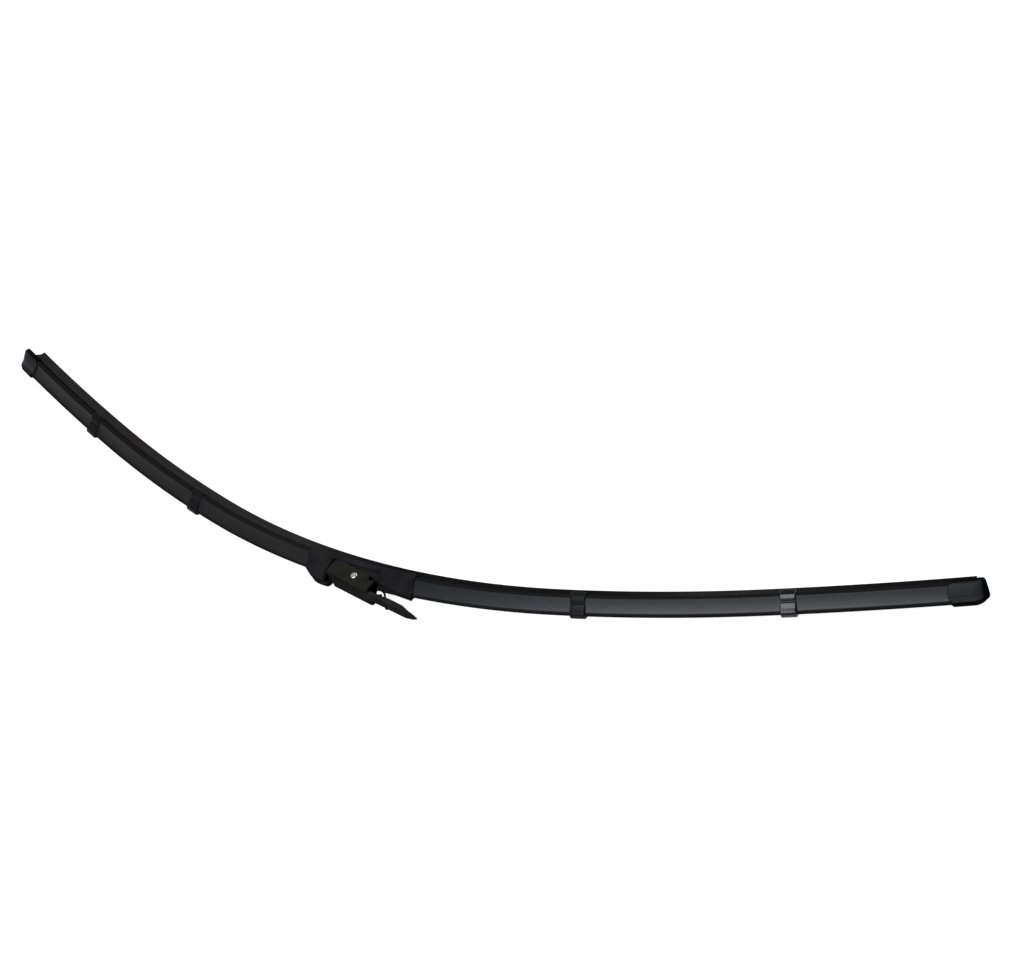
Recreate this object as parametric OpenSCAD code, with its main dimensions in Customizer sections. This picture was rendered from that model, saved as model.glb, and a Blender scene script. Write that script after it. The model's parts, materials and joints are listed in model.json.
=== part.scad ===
// Flat wiper blade lying on its side, bent as it is before it is pressed on the glass.
// X runs along the blade towards the arm, Y towards the glass, Z across its width.
// Lengths are in millimetres. Along the bend a place is given as s (arc length from
// the middle), n (towards the glass) and c (across the width).

/* [Blade] */
// Length of the blade along its bend
blade_length = 700; // [520:10:760]
// Radius of the bend in the middle third
bend_mid = 520; // [450:10:800]
// Radius of the bend between the middle and the ends
bend_outer = 1010; // [900:10:2000]
// Radius of the bend near the ends
bend_end = 2200; // [1800:50:5000]

/* [Section] */
// Half of the width over the foot of the spoiler
foot_half = 5.9; // [5.6:0.05:6.2]
// Height of the spoiler ridge over the rails
ridge_height = 7.9; // [6.5:0.1:8.5]
// Radius of the spoiler ridge
ridge_radius = 1.2; // [0.9:0.1:1.4]
// Distance by which the ridge stands off the middle, away from the upper side
ridge_shift = 0.5; // [0:0.1:0.8]
// Radius of the hollow faces of the spoiler
flank_hollow = 22; // [16:1:40]
// Depth of the wiping lip under the rails
lip_depth = 8.7; // [7.5:0.1:9.5]
// Half thickness of the wiping lip at its edge
lip_half = 0.35; // [0.25:0.05:0.5]
// Thickness of the spring rails
rail_thick = 0.9; // [0.7:0.05:1.0]

/* [Clips and caps] */
// Length of a clip along the blade
clip_length = 8.4; // [6:0.2:11]
// Wall of a clip
clip_wall = 1.0; // [0.8:0.1:1.2]
// Place of the inner clips as a share of half the blade
clip_inner = 0.388; // [0.36:0.004:0.44]
// Place of the outer clips as a share of half the blade
clip_outer = 0.713; // [0.69:0.004:0.76]
// Length of an end cap
cap_length = 20; // [16:0.2:26]
// Wall of an end cap
cap_wall = 1.1; // [0.9:0.1:1.3]

/* [Connector] */
// Half of the length of the connector base
base_half = 36.8; // [35:0.2:42]
// Half of the width of the connector base
base_side = 6.6; // [6.55:0.05:7.0]
// Height of the hump of the base over the rails
hump_height = 14; // [13:0.1:15]
// Height of the pivot over the rails
pivot_height = 7.8; // [7.6:0.1:8.2]
// Radius of the shank of the pivot rivet
rivet_radius = 1.5; // [1.2:0.05:1.6]
// Half of the width of the arm adapter
adapter_side = 6.5; // [6.4:0.05:6.6]
// Angle by which the adapter leans against its stop
adapter_lean = 9.8; // [9.2:0.1:9.8]
// Reach of the adapter tail from the pivot
tail_reach = 49.4; // [44:0.2:52]
// Half of the width of the adapter tail
tail_half = 3.2; // [2.4:0.1:3.6]

/* [Hidden] */

// Play between pieces that sit in one another
play = 0.05;
// Play of the caps and of the base on the spoiler
seat_play = 0.08;
// Overlap where two bends join
lap = 0.02;
// Fineness of the round faces
round_fn = 96;
// Flat steps of a quarter round drawn by points
corner_steps = 12;
// Flat steps of half a crest drawn by points
crest_steps = 8;
// Flat steps of a hollow face of the spoiler
flank_steps = 4;
// Fineness of the bends
bend_fn = 720;
// A little more than nothing, for cuts that pass a face
over = 1;

// Half of the blade and the ends of its bends
half = blade_length / 2;
s_mid = 0.34 * half;
s_outer = 0.66 * half;
turn_mid = s_mid / bend_mid * 180 / PI;
turn_outer = turn_mid + (s_outer - s_mid) / bend_outer * 180 / PI;

// Places along the blade
spoiler_start = base_half - 6.3;
spoiler_end = half - 2.6;
rail_end = half - 4;
rubber_end = half - 6.5;
cap_mouth = half - cap_length;
cap_floor = half - 2.2;

// Section of the rails, the rubber and the slot that holds them
rail_in = 1.6;
rail_out = foot_half - 0.75;
rail_top = -0.1;
head_half = 2.9;
head_top = -1.0;
neck_half = rail_in - play;
shoulder_half = 4.05;
rail_foot = rail_top + rail_thick;
shoulder_top = rail_foot + play;
shoulder_foot = shoulder_top + 0.8;
web_half = 0.55;
web_foot = shoulder_foot + 0.85;
wedge_half = 2.7;
foot_low = rail_foot + 0.7;
foot_high = -1.1;
claw_half = shoulder_half + 0.1;

// Middle of the round ridge
ridge_n = -ridge_height + ridge_radius;
ridge_c = -ridge_shift;

// Connector
base_low = foot_low + 0.9;
shoulder_n = -0.85;
pedestal_half = 5.0;
cheek_in = pedestal_half + 0.15;
boss_radius = 3.4;
// Half of the width of the spring finger under the tail
finger_half = 0.6;
// Outer and inner face of the adapter's roof, from the pivot
roof_out = 5.16;
roof_in = boss_radius + 0.16;
cheek_low = 4.6;
adapter_reach = 18.4;
adapter_end = 13.6;
// Hump: the face beside the adapter and the crest
hump_face = -18.9;
hump_crest = hump_face - 1.5;
// Top of the base under the adapter
deck_n = -4.3;
// Ramp: its start, and its height there and past its end
ramp_start = 14.2;
ramp_low = -ridge_height + 1.3;
ramp_high = -ridge_height - 2.2;
// Wall of the base where it wraps the spoiler
sleeve_wall = 0.65;
pivot_s = 0.5;
pivot = [pivot_s, -pivot_height];
seat = [pivot[0] - roof_out * sin(adapter_lean), pivot[1] - roof_out * cos(adapter_lean)];

// Point of the middle bend at arc length s and offset n
function mid_point(s, n) = let(a = s / bend_mid * 180 / PI)
    [(bend_mid - n) * sin(a), bend_mid - (bend_mid - n) * cos(a)];
// Point of the whole bend at arc length s on the right half
function first_end() = mid_point(s_mid, 0);
function arc_step(r, a, b) = [r * (sin(b) - sin(a)), r * (cos(a) - cos(b))];
function outer_end() = first_end() + arc_step(bend_outer, turn_mid, turn_outer);
function end_turn(s) = turn_outer + (s - s_outer) / bend_end * 180 / PI;
function end_point(s) = outer_end() + arc_step(bend_end, turn_outer, end_turn(s));

// One bend: a section swept about the centre of curvature
module bend(start, radius, turn_a, turn_b) {
    translate([start[0] - radius * sin(turn_a), start[1] + radius * cos(turn_a), 0])
        rotate([0, 0, turn_a - 90])
            rotate_extrude(angle = turn_b - turn_a, $fn = bend_fn)
                translate([radius, 0])
                    children();
}

// The section swept along the right half from s_a to s_b
module along(s_a, s_b) {
    mid_b = min(s_b, s_mid + lap);
    if (s_a < s_mid)
        bend(mid_point(s_a, 0), bend_mid, s_a / bend_mid * 180 / PI, mid_b / bend_mid * 180 / PI)
            children();
    out_a = max(s_a, s_mid);
    out_b = min(s_b, s_outer + lap);
    if (s_b > s_mid && s_a < s_outer) {
        a = turn_mid + (out_a - s_mid) / bend_outer * 180 / PI;
        b = turn_mid + (out_b - s_mid) / bend_outer * 180 / PI;
        bend(first_end() + arc_step(bend_outer, turn_mid, a), bend_outer, a, b)
            children();
    }
    end_a = max(s_a, s_outer);
    if (s_b > s_outer)
        bend(end_point(end_a), bend_end, end_turn(end_a), end_turn(s_b))
            children();
}

// The section swept to the same reach on both sides of the middle bend
module across_middle(s_b) {
    mid_turn = s_b / bend_mid * 180 / PI;
    bend(mid_point(-s_b, 0), bend_mid, -mid_turn, mid_turn)
        children();
}

// Heading and place at arc length s on either half
function turn_right(s) = s < s_mid ? s / bend_mid * 180 / PI
    : s < s_outer ? turn_mid + (s - s_mid) / bend_outer * 180 / PI : end_turn(s);
function turn_at(s) = s < 0 ? -turn_right(-s) : turn_right(s);
function point_right(s) = s < s_mid ? mid_point(s, 0)
    : s < s_outer ? first_end() + arc_step(bend_outer, turn_mid, turn_right(s)) : end_point(s);
function point_at(s) = s < 0 ? [-point_right(-s)[0], point_right(-s)[1]] : point_right(s);

// Stations from one arc length to another in steps of about the given length
function stations(s_a, s_b, step) = let(count = max(1, ceil((s_b - s_a) / step)))
    [for (i = [0:count - 1]) s_a + (s_b - s_a) * i / count];
function right_stations(s_a, s_b) = concat(
    stations(s_a, s_mid, 8), stations(s_mid, s_outer, 12), stations(s_outer, s_b, 18), [s_b]);
function both_stations(s_b) = let(right = right_stations(0, s_b), n = len(right))
    concat([for (i = [n - 1:-1:1]) -right[i]], right);

// A closed section, points [away from the glass, across], swept through the stations;
// caps are the flat pieces that close an end, as numbers of points of the section
module sweep(section, path, caps) {
    count = len(section);
    last = len(path) - 1;
    points = [for (s = path) let(at = point_at(s), a = turn_at(s))
        for (p = section) [at[0] + p[0] * sin(a), at[1] - p[0] * cos(a), p[1]]];
    sides = [for (i = [0:last - 1]) for (j = [0:count - 1]) let(k = (j + 1) % count)
        [i * count + j, i * count + k, (i + 1) * count + k, (i + 1) * count + j]];
    first_caps = [for (cap = caps) reversed(cap)];
    last_caps = [for (cap = caps) [for (j = cap) last * count + j]];
    polyhedron(points = points, faces = concat(first_caps, sides, last_caps), convexity = 6);
}

// Sections are drawn with x away from the glass and y across the width
module block(n_a, n_b, c_a, c_b) {
    translate([-n_b, c_a])
        square([n_b - n_a, c_b - c_a]);
}

// Circle that hollows the face of the spoiler on one side
module flank_cut(side, g) {
    top = [-ridge_n, ridge_c + side * ridge_radius];
    foot = [-foot_high, side * foot_half];
    chord = foot - top;
    len = norm(chord);
    out = side * [chord[1], -chord[0]] / len;
    away = sqrt(flank_hollow * flank_hollow - len * len / 4);
    translate((top + foot) / 2 + out * away)
        circle(r = flank_hollow - g, $fn = round_fn * 2);
}

// Outer outline of the spoiler, grown by g, with its ridge grown by ridge_g
module spoiler_outline(g, ridge_g) {
    crest_half = (ridge_radius + ridge_g) * 0.97;
    difference() {
        polygon([
            [-foot_low - g, -foot_half - g],
            [-foot_low - g, foot_half + g],
            [-foot_high + 0.6 + g * 0.5, foot_half + g],
            [-ridge_n, ridge_c + crest_half],
            [-ridge_n, ridge_c - crest_half],
            [-foot_high + 0.6 + g * 0.5, -foot_half - g]
        ]);
        flank_cut(1, g);
        flank_cut(-1, g);
    }
    translate([-ridge_n, ridge_c])
        circle(r = ridge_radius + ridge_g, $fn = round_fn);
}

// Outline of what wraps the spoiler: straight faces and a round crest
module wrap_outline(wall, crest_wall) {
    crest = ridge_radius + crest_wall;
    polygon(concat(
        [[-foot_low - wall, foot_half + wall], [-foot_high + 0.7, foot_half + wall]],
        [for (i = [-crest_steps:crest_steps])
            [crest * cos(90 * i / crest_steps) - ridge_n, ridge_c - crest * sin(90 * i / crest_steps)]],
        [[-foot_high + 0.7, -foot_half - wall], [-foot_low - wall, -foot_half - wall]]
    ));
}

// Points of a clip's face on one side, from its foot to the ridge, with a crease along it
function creased_points(side) = let(
    foot = [-foot_high - 0.4, side * (foot_half + clip_wall)],
    top = [-ridge_n, ridge_c + side * (ridge_radius + clip_wall + 0.4)],
    chord = top - foot,
    out = [-chord[1], chord[0]] / norm(chord) * side)
    [for (step = [[0, 0], [0.12, 0.1], [0.42, 0.1], [0.5, -0.5], [0.58, 0.1], [0.9, 0.1]])
        foot + chord * step[0] + out * step[1]];

// Outline of a clip: creased faces and a round crest
module clip_outline() {
    crest = ridge_radius + clip_wall + 0.4;
    polygon(concat(
        [[-foot_low - clip_wall, foot_half + clip_wall]], creased_points(1),
        [for (i = [-crest_steps:crest_steps])
            [crest * cos(90 * i / crest_steps) - ridge_n, ridge_c - crest * sin(90 * i / crest_steps)]],
        reversed(creased_points(-1)), [[-foot_low - clip_wall, -foot_half - clip_wall]]
    ));
}

// Room for the rails and the rubber in the foot of a spoiler or of the base
module core_room() {
    block(head_top - play, rail_top, -head_half - play, head_half + play);
    block(rail_top - play, rail_foot + play, -rail_out - play, rail_out + play);
    block(rail_foot, foot_low + 3, -claw_half, claw_half);
}

// Points of the hollow face of the spoiler on one side, from its foot to the ridge
function flank_points(side) = let(
    top = [-ridge_n, ridge_c + side * ridge_radius],
    foot = [-foot_high, side * foot_half],
    chord = top - foot,
    hollow = norm(chord) * norm(chord) / 8 / flank_hollow,
    inward = [chord[1], -chord[0]] / norm(chord) * side)
    [for (i = [0:flank_steps]) let(f = i / flank_steps)
        foot + chord * f + inward * (4 * hollow * f * (1 - f))];

// Round of the ridge between its two faces
function ridge_points() = [for (i = [-3:3])
    [-ridge_n + ridge_radius * cos(i * 23), ridge_c + ridge_radius * sin(i * 23)]];
function reversed(list) = [for (i = [len(list) - 1:-1:0]) list[i]];

// Half of the room for the core, from the foot up to the middle
function room_points(side) = [
    [-foot_low, side * claw_half], [-rail_foot - play, side * claw_half],
    [-rail_foot - play, side * (rail_out + play)], [play - rail_top, side * (rail_out + play)],
    [play - rail_top, side * (head_half + play)], [play - head_top, side * (head_half + play)]];

module spoiler() {
    section = concat(
        reversed(room_points(1)), [[-foot_low, foot_half]], flank_points(1),
        reversed(ridge_points()), reversed(flank_points(-1)), [[-foot_low, -foot_half]],
        room_points(-1));
    last = len(section) - 1;
    claw = [[3, 4, 5, 6, 7], [2, 3, 7, 8], [1, 2, 8], [0, 1, 8]];
    caps = concat(
        claw, [for (cap = claw) [for (j = reversed(cap)) last - j]],
        [[0, 8, last - 8, last]],
        [for (j = [8:last / 2 - 2]) [j, j + 1, last - 1 - j, last - j]],
        [[last / 2 - 1, last / 2, last / 2 + 1]]);
    color("#2b2d2f")
        sweep(section, right_stations(spoiler_start, spoiler_end), caps);
}

module rail() {
    color("#8d9092")
        sweep([
            [-rail_foot, rail_in], [-rail_top, rail_in],
            [-rail_top, rail_out], [-rail_foot, rail_out]
        ], both_stations(rail_end), [[0, 1, 2, 3]]);
}

// Half of the section of the wiping strip, from its head to the lip
function rubber_points() = [
    [-head_top, head_half], [play - rail_top, head_half], [play - rail_top, neck_half],
    [-shoulder_top, neck_half], [-shoulder_top, shoulder_half], [-shoulder_foot, shoulder_half],
    [-shoulder_foot, web_half], [-web_foot, web_half], [-web_foot, wedge_half],
    [-web_foot - 1.0, wedge_half], [-web_foot - 1.5, wedge_half - 0.7],
    [2.2 - lip_depth, lip_half + 0.25], [-lip_depth, lip_half]];

// Strip that wipes the glass, with a head over the rails and a hinge web
module wiping_rubber() {
    one = rubber_points();
    section = concat([for (p = one) [p[0], -p[1]]], reversed(one));
    last = len(section) - 1;
    wing = [[3, 4, 5, 6], [7, 8, 9]];
    caps = concat(
        wing, [for (cap = wing) [for (j = reversed(cap)) last - j]],
        [[0, 1, 2, last - 2, last - 1, last]],
        [for (j = [2, 6]) [j, j + 1, last - 1 - j, last - j]],
        [[3, 6, last - 6, last - 3], [7, 9, last - 9, last - 7]],
        [for (j = [9:11]) [j, j + 1, last - 1 - j, last - j]]);
    color("#1a1b1c")
        sweep(section, both_stations(rubber_end), caps);
}

// Clip that wraps the spoiler and hooks under its foot
module clip(share) {
    from = share * half - clip_length / 2;
    to = share * half + clip_length / 2;
    color("#17181a")
        difference() {
            along(from, to)
                clip_outline();
            along(from - over, to + over)
                spoiler_outline(play, play);
            along(from - over, to + over)
                block(foot_low - 1, foot_low + clip_wall + over, -claw_half - 0.15, claw_half + 0.15);
        }
}

// Points of a quarter round from angle a on
function quarter(x, y, r, a) = [for (i = [0:corner_steps])
    [x + r * cos(a + 90 * i / corner_steps), y + r * sin(a + 90 * i / corner_steps)]];

// Shape that rounds a cap seen from its side, x along the blade and y towards the glass
module cap_side() {
    glass = foot_low + cap_wall;
    low = glass + over;
    high = -ridge_height - cap_wall;
    ridge_round = 6.6;
    glass_round = 1.8;
    polygon(concat(
        [[-cap_length - over, high - over], [-ridge_round, high - over]],
        quarter(-ridge_round, high + ridge_round, ridge_round, -90),
        quarter(-glass_round, glass - glass_round, glass_round, 0),
        [[-glass_round, low], [-cap_length - over, low]]
    ));
}

// Shape that rounds a cap seen from over the ridge, x along the blade and y across it
module cap_plan() {
    side = foot_half + cap_wall;
    bow = 3.0;
    polygon(concat(
        [[-cap_length - over, -side - over], [-bow, -side - over]],
        quarter(-bow, bow - side, bow, -90),
        quarter(-bow, side - bow, bow, 0),
        [[-bow, side + over], [-cap_length - over, side + over]]
    ));
}

module end_cap() {
    tip = end_point(half);
    color("#1c1d1f")
        difference() {
            intersection() {
                along(cap_mouth, half)
                    wrap_outline(cap_wall, cap_wall);
                translate([tip[0], tip[1], 0])
                    rotate([0, 0, end_turn(half)])
                        translate([0, 0, -10])
                            linear_extrude(20)
                                cap_side();
                translate([tip[0], tip[1], 0])
                    rotate([0, 0, end_turn(half)])
                        translate([0, 14, 0])
                            rotate([90, 0, 0])
                                linear_extrude(34)
                                    cap_plan();
            }
            along(cap_mouth - over, cap_floor)
                spoiler_outline(seat_play, seat_play);
            along(cap_mouth - over, rubber_end + 0.3)
                block(foot_low - 1, foot_low + cap_wall + over, -claw_half, claw_half);
        }
}

// Side view of the connector base above its foot
module base_side_view() {
    polygon([
        mid_point(hump_crest - 18.4, 0.4),
        mid_point(hump_crest - 18.4, 0.2 - ridge_height),
        mid_point(hump_crest - 14.2, -ridge_height - 2.0),
        mid_point(hump_crest - 11.2, 2.8 - hump_height),
        mid_point(hump_crest - 8.2, 1.5 - hump_height),
        mid_point(hump_crest - 4.9, 0.6 - hump_height),
        mid_point(hump_crest - 2.1, 0.1 - hump_height),
        mid_point(hump_crest, -hump_height),
        mid_point(hump_face, 0.5 - hump_height),
        mid_point(hump_face + 3, 0.5 - hump_height),
        mid_point(ramp_start - 3, 0.5 - hump_height),
        mid_point(ramp_start, ramp_low),
        mid_point(base_half + 2, ramp_high),
        mid_point(base_half + 2, 0.4)
    ]);
}

// Half of the outline of the base seen from over the ridge, without its foot
function plan_points(side) = [
    [-base_half - 2, side * 1.4], [3.2 - base_half, side * 3.4],
    [5.6 - base_half, side * 5.0], [8.4 - base_half, side * 6.1],
    [11.4 - base_half, side * base_side], [ramp_start, side * base_side],
    [ramp_start + 2, side * 4.2], [base_half - 12, side * 2.4], [base_half + 2, side * 1.7]];

// Section of the base: an upright foot with sloping faces and a round crest above it
module base_section() {
    polygon([
        [-1, -base_side], [-1, base_side], [-shoulder_n, base_side],
        [hump_height - 4.4, 5.7], [hump_height - 2.2, 4.8], [hump_height - 0.7, 3.6],
        [hump_height, 2.6], [hump_height + 1, 2.4],
        [hump_height + 1, -2.4], [hump_height, -2.6],
        [hump_height - 0.7, -3.6], [hump_height - 2.2, -4.8], [hump_height - 4.4, -5.7],
        [-shoulder_n, -base_side]
    ]);
}

// Bracket that grips the rails, with a hump before the adapter and a ramp behind it
module connector_base() {
    color("#242629")
        difference() {
            union() {
                intersection() {
                    translate([0, 0, -10])
                        linear_extrude(20)
                            base_side_view();
                    across_middle(base_half)
                        base_section();
                    translate([0, 14, 0])
                        rotate([90, 0, 0])
                            linear_extrude(34)
                                polygon(concat(plan_points(1), reversed(plan_points(-1))));
                }
                across_middle(base_half)
                    block(shoulder_n, base_low, -base_side, base_side);
                across_middle(base_half)
                    wrap_outline(sleeve_wall, sleeve_wall);
            }
            across_middle(base_half + over)
                core_room();
            along(spoiler_start - 0.2, base_half + over)
                spoiler_outline(seat_play, seat_play);
            mirror([1, 0, 0])
                along(spoiler_start - 0.2, base_half + over)
                    spoiler_outline(seat_play, seat_play);
            for (up = [0, 1])
                mirror([0, 0, up])
                    side_recess();
            hinge_room();
            hump_pocket();
            finger_slot();
            translate([pivot[0], pivot[1], -10])
                cylinder(r = rivet_radius + 0.02, h = 20, $fn = round_fn);
        }
}

// Recess in which a cheek of the adapter swings
module side_recess() {
    translate([0, 0, pedestal_half])
        linear_extrude(5)
            polygon([
                mid_point(hump_face - 0.3, -20), mid_point(hump_face - 0.3, shoulder_n),
                mid_point(-6, shoulder_n), mid_point(6, shoulder_n),
                mid_point(ramp_start + 0.3, shoulder_n), mid_point(ramp_start + 0.3, -20)
            ]);
}

// Room over the middle of the base in which the adapter swings, around the boss
module hinge_room() {
    translate([0, 0, -10])
        linear_extrude(20)
            difference() {
                polygon([
                    mid_point(hump_face, -20), mid_point(hump_face, deck_n), mid_point(-6, deck_n),
                    [pivot[0] - boss_radius * 0.8, pivot[1]], pivot,
                    [pivot[0] + boss_radius * 0.8, pivot[1]], mid_point(10.5, deck_n),
                    mid_point(ramp_start, ramp_low), mid_point(ramp_start, -20)
                ]);
                translate(pivot)
                    circle(r = boss_radius, $fn = round_fn);
            }
}

// Pocket in the crest of the hump, open towards the adapter
module hump_pocket() {
    pocket_half = 1.7;
    translate([hump_crest - 4.6, -hump_height - 2, -pocket_half])
        cube([8, 8, 2 * pocket_half]);
}

// Slot in the ramp for the finger under the adapter tail
module finger_slot() {
    slot_half = finger_half + 0.3;
    translate([pivot[0] + adapter_end + 3.3, -14, -slot_half])
        cube([9, 8.6, 2 * slot_half]);
}

module pivot_rivet() {
    head_radius = rivet_radius + 0.6;
    color("#c9ccd0")
        translate([pivot[0], pivot[1], 0]) {
            translate([0, 0, -adapter_side - 0.1])
                cylinder(r = rivet_radius, h = 2 * adapter_side + 0.2, $fn = round_fn);
            for (up = [0, 1])
                mirror([0, 0, up])
                    translate([0, 0, adapter_side + play])
                        rotate_extrude($fn = round_fn)
                            polygon([
                                [0, 0], [head_radius, 0], [head_radius, 0.35],
                                [head_radius - 0.5, 0.75], [0, 0.75]
                            ]);
        }
}

// Side view of the adapter channel, with the pivot at the origin
module adapter_side_view() {
    corner = 1.6;
    heel = 3.2;
    notch = 2.5;
    stop_from = -13.5;
    stop_y = cheek_low - tan(adapter_lean) * (adapter_reach + stop_from);
    difference() {
        intersection() {
            union() {
                polygon([
                    [-adapter_reach, -roof_out], [-adapter_reach, stop_y],
                    [stop_from, cheek_low], [adapter_end - heel, cheek_low],
                    [adapter_end, cheek_low - heel],
                    [adapter_end, corner - roof_out], [adapter_end - corner, -roof_out]
                ]);
                translate([adapter_end - corner, corner - roof_out])
                    circle(r = corner, $fn = round_fn);
                translate([adapter_end - heel, cheek_low - heel])
                    circle(r = heel, $fn = round_fn);
            }
            circle(r = adapter_reach, $fn = round_fn * 2);
        }
        circle(r = rivet_radius + play, $fn = round_fn);
        translate([adapter_end - notch - 0.2, cheek_low - 0.3])
            circle(r = notch, $fn = round_fn);
    }
}

// Tail of the adapter with its pointed end, thumb ridge and spring finger
module adapter_tail() {
    root = adapter_end - 3;
    point = tail_reach - 10;
    face = -roof_out + 0.7;
    intersection() {
        translate([0, 0, -tail_half])
            linear_extrude(2 * tail_half)
                polygon([
                    [root, face - 0.1], [point + 2, face + 0.3], [tail_reach, face + 1.2],
                    [tail_reach, face + 1.9], [tail_reach - 6, face + 2.3],
                    [point - 1.5, face + 3.3], [point - 12, face + 3.3],
                    [adapter_end + 8, face + 2.5], [root, face + 2.2]
                ]);
        translate([0, 5, 0])
            rotate([90, 0, 0])
                linear_extrude(20)
                    polygon([
                        [root, -tail_half], [point, -tail_half], [tail_reach - 3, -1.9],
                        [tail_reach, -0.5], [tail_reach, 0.5], [tail_reach - 3, 1.9],
                        [point, tail_half], [root, tail_half]
                    ]);
    }
    translate([adapter_end + 12.5, face + 0.15, -tail_half + 0.3])
        cylinder(r = 1.0, h = 2 * tail_half - 0.6, $fn = round_fn);
    translate([0, 0, -finger_half])
        linear_extrude(2 * finger_half)
            polygon([
                [adapter_end + 12.0, face + 2], [adapter_end + 10.3, face + 2],
                [adapter_end + 5.3, face + 6.1], [adapter_end + 6.1, face + 6.7]
            ]);
}

// Adapter that takes the wiper arm: a channel over the base with a tail
module arm_adapter() {
    color("#2f302c")
        translate([pivot[0], pivot[1], 0])
            rotate([0, 0, -adapter_lean]) {
                difference() {
                    translate([0, 0, -adapter_side])
                        linear_extrude(2 * adapter_side)
                            adapter_side_view();
                    translate([-adapter_reach - over, -roof_in, -cheek_in])
                        cube([adapter_reach + adapter_end + 2 * over, 20, 2 * cheek_in]);
                }
                adapter_tail();
            }
}

// The origin is moved to the middle of the adapter's outer face, where the arm sits
module placed() {
    translate([-seat[0], -seat[1], 0])
        children();
}

module mirrored() {
    mirror([1, 0, 0])
        children();
}

placed() mirrored() spoiler();  // left_spoiler
placed() spoiler();  // right_spoiler
placed() rail();  // front_rail
placed() mirror([0, 0, 1]) rail();  // back_rail
placed() wiping_rubber();
placed() mirrored() end_cap();  // left_end_cap
placed() end_cap();  // right_end_cap
placed() mirrored() clip(clip_outer);  // left_outer_clip
placed() mirrored() clip(clip_inner);  // left_inner_clip
placed() clip(clip_inner);  // right_inner_clip
placed() clip(clip_outer);  // right_outer_clip
placed() connector_base();
placed() pivot_rivet();
placed() arm_adapter();
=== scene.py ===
"""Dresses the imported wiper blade: a free, bent flat blade that lies on its side on a white table.

A place on the blade is given as s (arc length from the middle, towards the arm), n (towards the
glass) and c (across the width, upwards as it lies). All three are in millimetres; meshes are in
metres. Sections are drawn as (u, c), where u = -n points away from the glass.
"""

import json
import logging
import math
from dataclasses import dataclass, replace
from enum import Enum
from typing import Any

import bpy
import numpy as np
from mathutils import Matrix, Vector

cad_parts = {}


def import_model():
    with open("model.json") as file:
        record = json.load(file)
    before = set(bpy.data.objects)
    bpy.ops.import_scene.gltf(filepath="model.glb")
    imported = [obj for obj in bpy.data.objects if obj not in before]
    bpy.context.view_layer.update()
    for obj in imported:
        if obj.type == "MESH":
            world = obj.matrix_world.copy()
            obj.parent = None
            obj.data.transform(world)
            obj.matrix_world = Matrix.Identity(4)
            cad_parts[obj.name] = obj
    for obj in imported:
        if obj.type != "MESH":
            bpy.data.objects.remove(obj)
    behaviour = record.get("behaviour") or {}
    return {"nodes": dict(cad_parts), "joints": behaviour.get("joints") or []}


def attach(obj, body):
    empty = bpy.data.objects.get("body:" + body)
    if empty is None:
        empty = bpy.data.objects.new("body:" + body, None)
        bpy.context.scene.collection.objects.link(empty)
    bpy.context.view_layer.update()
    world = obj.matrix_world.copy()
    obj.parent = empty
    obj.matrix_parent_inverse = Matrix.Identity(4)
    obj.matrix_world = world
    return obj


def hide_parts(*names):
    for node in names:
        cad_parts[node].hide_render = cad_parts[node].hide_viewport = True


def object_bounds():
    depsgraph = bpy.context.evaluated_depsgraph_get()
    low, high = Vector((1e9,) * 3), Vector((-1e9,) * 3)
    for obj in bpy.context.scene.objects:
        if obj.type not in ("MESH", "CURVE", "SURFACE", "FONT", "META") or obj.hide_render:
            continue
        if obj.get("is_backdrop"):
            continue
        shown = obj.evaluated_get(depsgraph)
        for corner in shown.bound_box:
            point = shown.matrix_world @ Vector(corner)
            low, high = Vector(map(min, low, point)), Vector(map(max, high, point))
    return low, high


LOG = logging.getLogger("wiper_blade")
MM = 0.001
UV_MAP = "along_blade"
NOISE_LOW, NOISE_HIGH = 0.3, 0.7  # a noise seldom leaves this range

Array = np.ndarray
Three = tuple[float, float, float]
Four = tuple[float, float, float, float]
Tree = bpy.types.NodeTree
Socket = bpy.types.NodeSocket


class Side(Enum):
    """Which half of the blade a piece is on."""

    LEFT = -1
    RIGHT = 1


# ---------------------------------------------------------------- shapes


@dataclass(frozen=True)
class Bend:
    """Centre line of the free blade: three arcs that touch, on each side of the middle.

    Attributes:
        half: Half of the length along the bend.
        radii: Radii of the arcs, from the middle outwards.
        borders: Arc lengths at which the arcs begin, and the end of the last.
        origin_x: Shift from the middle of the bend to the frame's origin, along X.
        origin_y: The same shift along Y.
    """

    half: float
    radii: Three
    borders: Four
    origin_x: float
    origin_y: float

    def place(self, s: Array, n: Array, c: Array) -> Array:
        """Turns places on the blade into points of the frame.

        Each arc adds its chord: radius times the change in sine along X, and in cosine along Y.
        The offset n then goes at a right angle to the heading.

        Args:
            s: Arc lengths from the middle.
            n: Offsets towards the glass.
            c: Offsets across the width.

        Returns:
            Points in metres, with the three coordinates in the last axis.
        """
        s, n, c = np.broadcast_arrays(s, n, c)
        reach, sign = np.abs(s), np.where(s < 0, -1.0, 1.0)
        x, y, turn = np.zeros(s.shape), np.zeros(s.shape), np.zeros(s.shape)
        for radius, start, end in zip(self.radii, self.borders[:-1], self.borders[1:]):
            step = np.clip(reach - start, 0.0, end - start) / radius
            x += radius * (np.sin(turn + step) - np.sin(turn))
            y += radius * (np.cos(turn) - np.cos(turn + step))
            turn = turn + step
        x = sign * (x - n * np.sin(turn)) + self.origin_x
        y = y + n * np.cos(turn) + self.origin_y
        return np.stack([x, y, c], -1) * MM


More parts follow.
